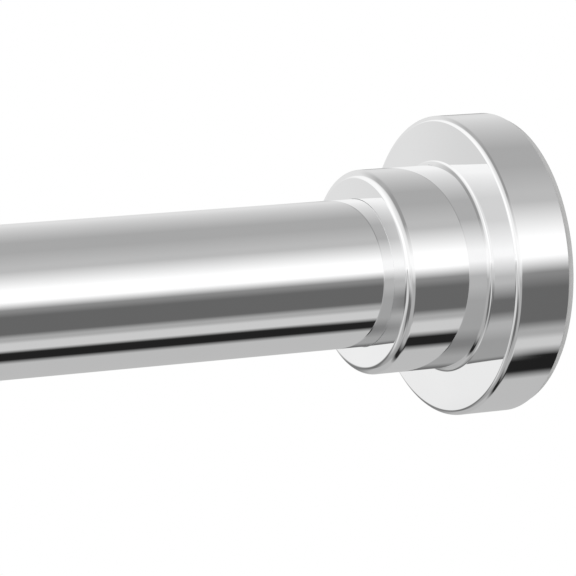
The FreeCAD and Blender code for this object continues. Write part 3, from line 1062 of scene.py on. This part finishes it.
def mirroredCards(tree):
    # The tone that a mirrored look meets, by its angle round the rod and its share along the rod
    place = addNode(tree, "ShaderNodeTexCoord", (-1400, 0))
    parts = addNode(tree, "ShaderNodeSeparateXYZ", (-1200, 0))
    tree.links.new(place.outputs["Generated"], parts.inputs[0])
    towards = mathNode(tree, "MULTIPLY", (-1000, -100), parts.outputs["Y"], -1.0)
    angle = mathNode(tree, "ARCTAN2", (-820, 0), parts.outputs["Z"], towards)
    turns = mathNode(tree, "MULTIPLY", (-640, 0), angle, 0.5 / math.pi)
    # Half a turn puts the camera's side in a ramp's middle, and a whole one keeps the sum above 0
    rampStart = 1 + 0.5 - studio["cardTurn"] / 360
    share = mathNode(tree, "FRACT", (-280, 0), mathNode(tree, "ADD", (-460, 0), turns, rampStart))
    shade = cardRamp(tree, (-80, 200), share, nearWall)
    for number, (cards, start, end) in enumerate(cardSides):
        further = cardRamp(tree, (-80, -100 - 250 * number), share, cards)
        along = addNode(tree, "ShaderNodeMapRange", (-80, 450 + 250 * number),
                        interpolation_type="SMOOTHSTEP")
        tree.links.new(parts.outputs["X"], along.inputs["Value"])
        along.inputs["From Min"].default_value = end
        along.inputs["From Max"].default_value = start
        mix = addNode(tree, "ShaderNodeMix", (200 + 180 * number, 300), data_type="RGBA")
        tree.links.new(along.outputs["Result"], mix.inputs["Factor"])
        tree.links.new(further, mix.inputs["A"])
        tree.links.new(shade, mix.inputs["B"])
        shade = mix.outputs["Result"]
    return shade


def addWorld():
    # The camera sees white, the metal mirrors the cards, and all else is lit by a plain pale sky
    world = bpy.data.worlds.new("studioWorld")
    bpy.context.scene.world = world
    world.use_nodes = True
    tree = world.node_tree
    tree.nodes.clear()
    mirrored = addNode(tree, "ShaderNodeBackground", (1500, 0))
    mirrored.inputs["Strength"].default_value = studio["cardLight"]
    tree.links.new(mirroredCards(tree), mirrored.inputs["Color"])
    plain = addNode(tree, "ShaderNodeBackground", (1500, -150))
    plain.inputs["Color"].default_value = (1, 1, 1, 1)
    plain.inputs["Strength"].default_value = studio["plainLight"]
    white = addNode(tree, "ShaderNodeBackground", (1500, -300))
    white.inputs["Color"].default_value = (1, 1, 1, 1)
    rays = addNode(tree, "ShaderNodeLightPath", (1300, 400))
    glossy = addNode(tree, "ShaderNodeMixShader", (1750, 0))
    tree.links.new(rays.outputs["Is Glossy Ray"], glossy.inputs["Fac"])
    tree.links.new(plain.outputs[0], glossy.inputs[1])
    tree.links.new(mirrored.outputs[0], glossy.inputs[2])
    seen = mathNode(tree, "MAXIMUM", (1600, 300), rays.outputs["Is Camera Ray"],
                    rays.outputs["Is Transmission Ray"])
    backdrop = addNode(tree, "ShaderNodeMixShader", (1950, 0))
    tree.links.new(seen, backdrop.inputs["Fac"])
    tree.links.new(glossy.outputs[0], backdrop.inputs[1])
    tree.links.new(white.outputs[0], backdrop.inputs[2])
    output = addNode(tree, "ShaderNodeOutputWorld", (2150, 0))
    tree.links.new(backdrop.outputs[0], output.inputs["Surface"])


floor = {
    "height": -0.16,
    "size": 12.0,
    "colour": (0.93, 0.93, 0.925),
    "grainPerMetre": 220.0,
    "grainTone": 0.985,  # how light the grain's darker spots are beside the rest
    "clearFrom": 0.45,  # metres from the rod's middle where it starts to fade to the backdrop
    "clearAt": 0.95,
}


def addFloor():
    bpy.ops.object.select_all(action="DESELECT")
    bpy.ops.mesh.primitive_plane_add(
        size=floor["size"], location=(-rod["span"] / 2 * mm, 0, floor["height"]))
    plane = bpy.context.object
    plane.name = "studioFloor"
    material = bpy.data.materials.new("floorPaper")
    material.use_nodes = True
    tree = material.node_tree
    tree.nodes.clear()
    paper = addNode(tree, "ShaderNodeBsdfDiffuse", (200, 100))
    place = addNode(tree, "ShaderNodeTexCoord", (-900, -200))
    grain = noiseNode(tree, (-500, 300), place.outputs["Object"], floor["grainPerMetre"], detail=2.0)
    darker = tuple(value * floor["grainTone"] for value in floor["colour"])
    tree.links.new(blendColours(tree, (-200, 300), grain, darker, floor["colour"]), paper.inputs["Color"])
    white = addNode(tree, "ShaderNodeEmission", (200, -100))
    away = addNode(tree, "ShaderNodeVectorMath", (-700, -200), operation="LENGTH")
    tree.links.new(place.outputs["Object"], away.inputs[0])
    fade = addNode(tree, "ShaderNodeMapRange", (-450, -200), interpolation_type="SMOOTHSTEP")
    tree.links.new(away.outputs["Value"], fade.inputs["Value"])
    fade.inputs["From Min"].default_value = floor["clearFrom"]
    fade.inputs["From Max"].default_value = floor["clearAt"]
    rays = addNode(tree, "ShaderNodeLightPath", (-450, -450))
    faded = mathNode(tree, "MULTIPLY", (-200, -250), fade.outputs["Result"],
                     rays.outputs["Is Camera Ray"])
    mix = addNode(tree, "ShaderNodeMixShader", (450, 0))
    tree.links.new(faded, mix.inputs["Fac"])
    tree.links.new(paper.outputs[0], mix.inputs[1])
    tree.links.new(white.outputs[0], mix.inputs[2])
    output = addNode(tree, "ShaderNodeOutputMaterial", (700, 0))
    tree.links.new(mix.outputs[0], output.inputs["Surface"])
    plane.data.materials.append(material)
    plane.visible_glossy = False


lamps = {
    "softKey": {"place": (-0.7, -0.9, 1.0), "size": (1.2, 0.8), "power": 5.0},
    "softFill": {"place": (0.4, 0.9, 0.9), "size": (1.0, 0.8), "power": 2.5},
}
lampAim = (-0.3, 0, 0)


def addLamp(name, place, size, power):
    bpy.ops.object.light_add(type="AREA", location=place)
    lamp = bpy.context.object
    lamp.name = name
    lamp.data.shape = "RECTANGLE"
    lamp.data.size, lamp.data.size_y = size
    lamp.data.energy = power
    lamp.rotation_mode = "QUATERNION"
    lamp.rotation_quaternion = (Vector(lampAim) - Vector(place)).to_track_quat("-Z", "Y")
    lamp.visible_glossy = False


addWorld()
addFloor()
for name, lamp in lamps.items():
    addLamp(name, **lamp)
bpy.context.scene.view_settings.view_transform = "Standard"
print("studio ready")
